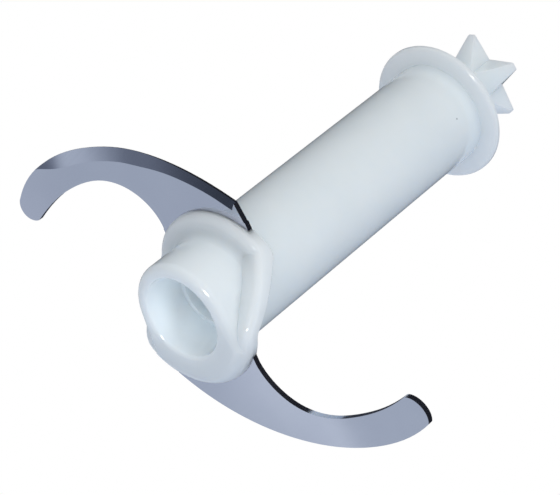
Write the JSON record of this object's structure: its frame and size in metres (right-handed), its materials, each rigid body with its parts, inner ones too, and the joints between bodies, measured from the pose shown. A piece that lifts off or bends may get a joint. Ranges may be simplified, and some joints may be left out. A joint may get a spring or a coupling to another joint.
{
  "type": "food processor blade",
  "caption": "Tall white hub with a flange and star-shaped key at the top, and a curved steel chopping blade with staggered arms moulded into its foot.",
  "frame": {"origin": "centre of the hub's mouth at the rim it stands on, on the spin axis", "axes": "+Z along the spin axis, from the mouth up to the star key; the cutting arms lie to -X (low) and +X (high)"},
  "size_m": [0.1117, 0.101, 0.1362],
  "materials": {
    "hub_plastic": "gloss",
    "blade_steel": "polished"
  },
  "bodies": {
    "root": {"hub": "hub_plastic", "blade": "blade_steel"}
  },
  "joints": []
}
